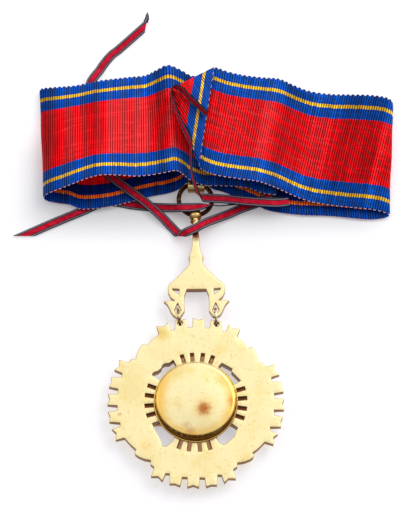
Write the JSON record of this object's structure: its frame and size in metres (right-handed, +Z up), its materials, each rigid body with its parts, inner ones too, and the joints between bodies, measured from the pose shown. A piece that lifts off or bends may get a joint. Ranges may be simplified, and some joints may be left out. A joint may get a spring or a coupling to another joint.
{
  "type": "order badge with neck ribbon",
  "caption": "Pierced gilt star badge with round boss and spire hanger, lying face down, on a bail with a wide folded neck ribbon and narrow tie tapes.",
  "frame": {"origin": "under the middle of the star, on the surface that the badge lies on", "axes": "+Z up from the surface, +Y from the star along the hanger to the ribbon, +X to the right in the view from above with the ribbon at the top"},
  "size_m": [0.1281, 0.1667, 0.0164],
  "materials": {
    "pale_gilt": "matt gilding, pale gold, slightly tarnished, with fine scratches",
    "bright_gilt": "polished gilding, warmer gold",
    "dark_metal": "dark tarnished wire with worn gold glints",
    "ribbon_silk": "ribbed watered silk, red with a blue, yellow and blue border on both sides",
    "tie_tape": "narrow woven tape, crimson with pale lines and dark edges"
  },
  "bodies": {
    "root": {"star_plate": "pale_gilt", "centre_boss": "pale_gilt", "spire_hanger": "bright_gilt", "link_left": "dark_metal", "link_right": "dark_metal", "ribbon_ring": "dark_metal", "ribbon_clasp": "bright_gilt", "neck_ribbon": "ribbon_silk", "tie_right": "tie_tape", "tie_left": "tie_tape"}
  },
  "joints": []
}
